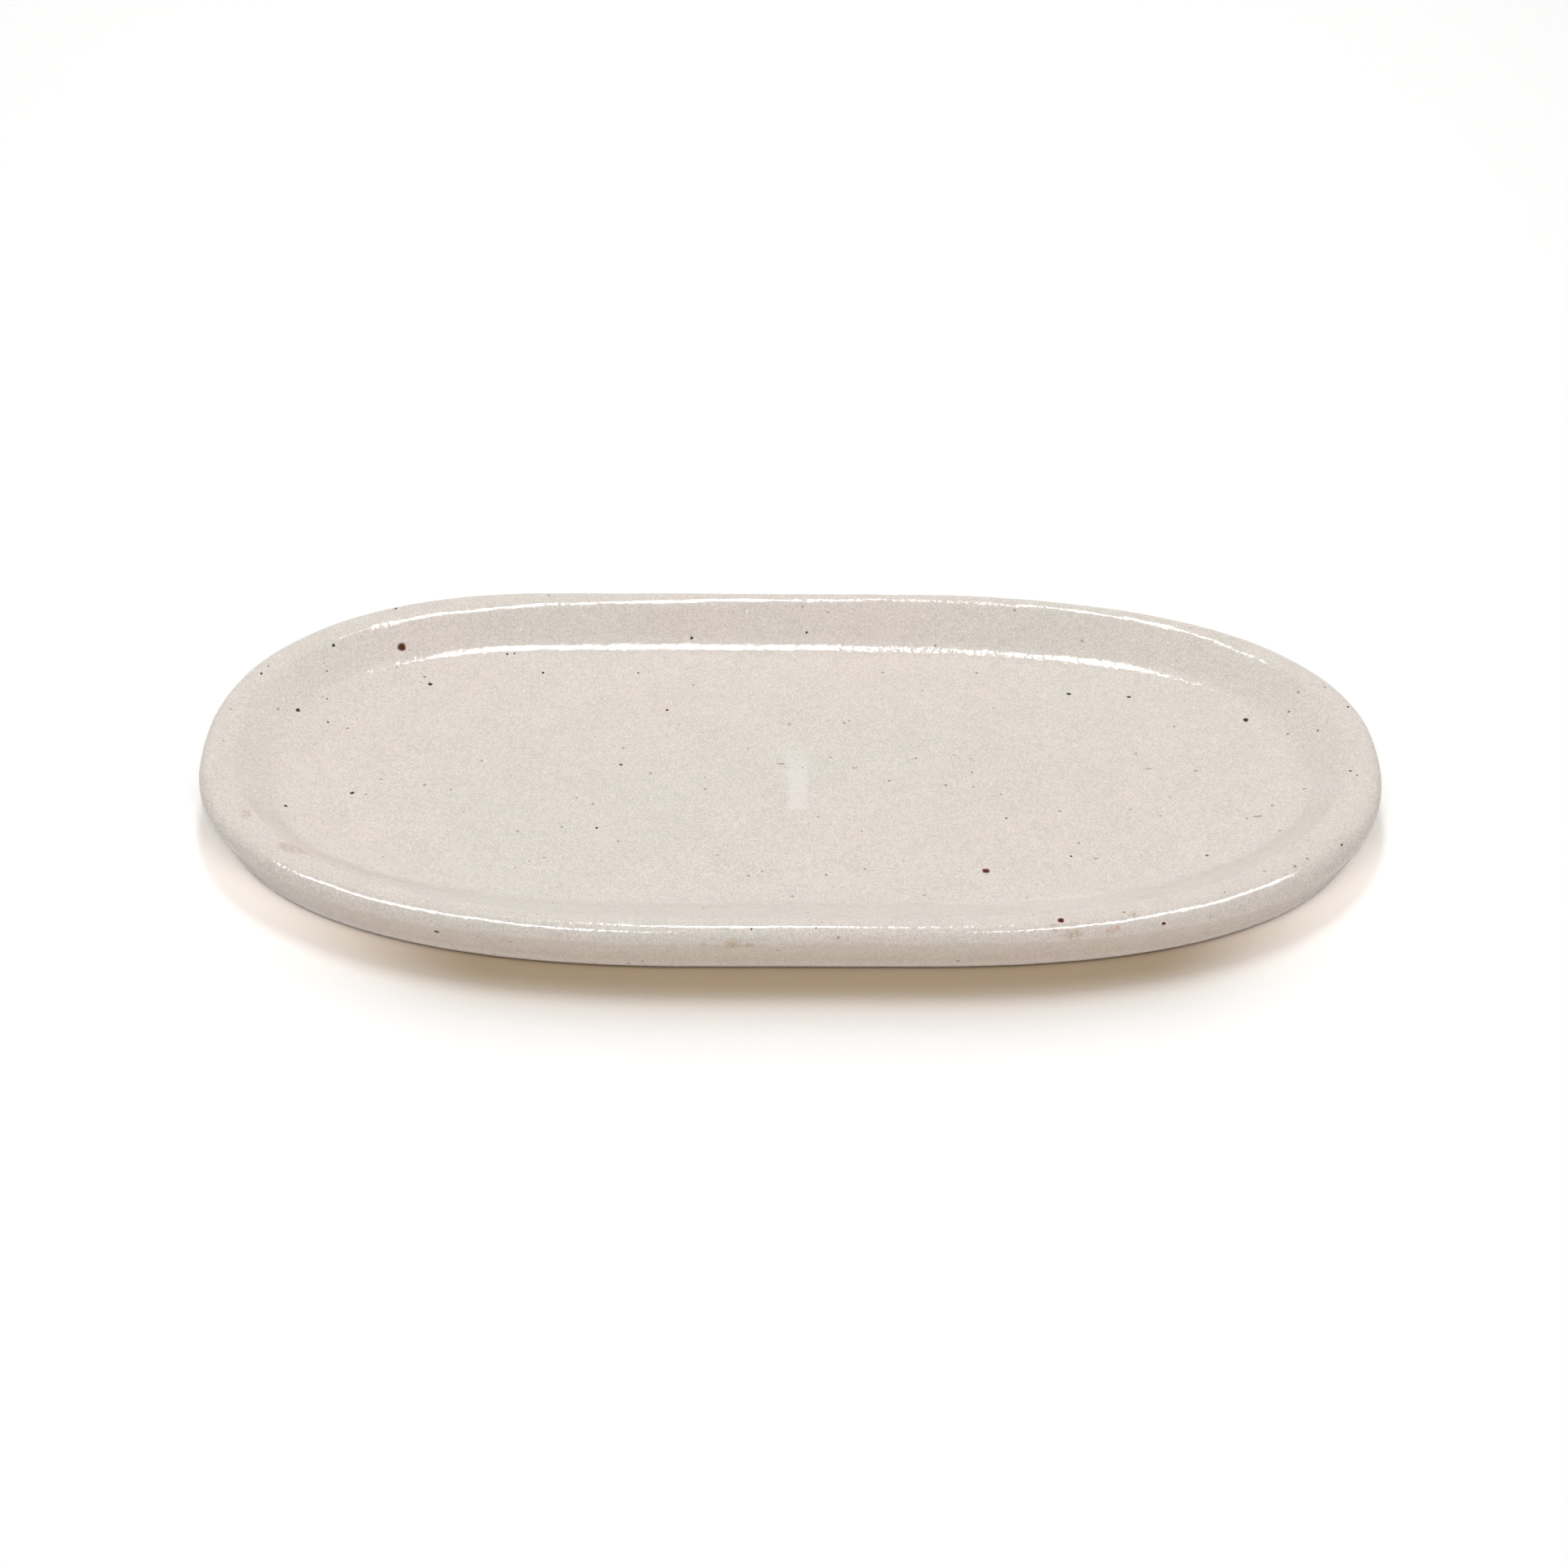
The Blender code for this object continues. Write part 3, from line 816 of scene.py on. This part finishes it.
# Lamps: place, width, depth, radiance, and whether it lights matt surfaces and shows in the gloss.
# Each is turned to face the tray.
LAMPS = {
    "ceiling_softbox": ((-0.05, 0.10, 1.40), 0.80, 0.70, 1.05, True, False),
    "front_softbox": ((0.0, -0.95, 1.05), 1.30, 0.60, 3.25, True, False),
    "back_softbox": ((0.0, 1.00, 0.90), 1.30, 0.60, 1.65, True, False),
    "lamp_above": ((-0.024, 0.30, 1.00), 0.160, 0.35, 17.0, True, True),
    "left_rim_light": ((-0.56, -0.49, 0.95), 1.10, 0.26, 15.0, False, True),
    "right_rim_light": ((0.585, -0.42, 0.95), 1.08, 0.24, 15.0, False, True),
}


def set_lights():
    """Three softboxes, a small lamp above, two lights that show in the rim, and an even fill."""
    for name, (place, width, depth, radiance, lights_matt, shows_in_gloss) in LAMPS.items():
        lamp = bpy.data.lights.new(name, "AREA")
        lamp.shape = "RECTANGLE"
        lamp.size = width
        lamp.size_y = depth
        lamp.energy = radiance * math.pi * width * depth
        holder = bpy.data.objects.new(name, lamp)
        bpy.context.scene.collection.objects.link(holder)
        holder.location = place
        holder.rotation_mode = "QUATERNION"
        holder.rotation_quaternion = (-Vector(place)).to_track_quat("-Z", "Y")
        holder.visible_diffuse = lights_matt
        holder.visible_glossy = shows_in_gloss
    world = bpy.data.worlds.new("studio")
    bpy.context.scene.world = world
    world.use_nodes = True
    tree = world.node_tree
    fill = tree.nodes["Background"]
    fill.inputs["Color"].default_value = FILL_COLOUR
    fill.inputs["Strength"].default_value = FILL_STRENGTH
    white = tree.nodes.new("ShaderNodeBackground")
    white.inputs["Color"].default_value = WHITE
    white.inputs["Strength"].default_value = 1.0
    path = tree.nodes.new("ShaderNodeLightPath")
    seen = tree.nodes.new("ShaderNodeMath")
    seen.operation = "MAXIMUM"
    tree.links.new(path.outputs["Is Camera Ray"], seen.inputs[0])
    tree.links.new(path.outputs["Is Glossy Ray"], seen.inputs[1])
    mix = tree.nodes.new("ShaderNodeMixShader")
    tree.links.new(seen.outputs[0], mix.inputs[0])
    tree.links.new(fill.outputs[0], mix.inputs[1])
    tree.links.new(white.outputs[0], mix.inputs[2])
    tree.links.new(mix.outputs[0], tree.nodes["World Output"].inputs["Surface"])


def main():
    ring = plan_ring()
    glaze = glaze_skin(ring)
    clay = clay_slab(ring)

    mesh = glaze.data
    faces = [tuple(face.vertices) for face in mesh.polygons]
    surface = BVHTree.FromPolygons([vertex.co for vertex in mesh.vertices], faces)
    glaze.data.materials.append(glaze_finish(surface))
    clay.data.materials.append(clay_finish())

    for piece, node, finish in (
        (glaze, "glaze_coat", "speckled_glaze"),
        (clay, "stoneware_body", "bare_stoneware"),
    ):
        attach(piece, "root")
        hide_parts(node)

    table("white_table")
    set_camera()
    set_lights()
    bpy.context.scene.view_settings.view_transform = "Standard"


main()
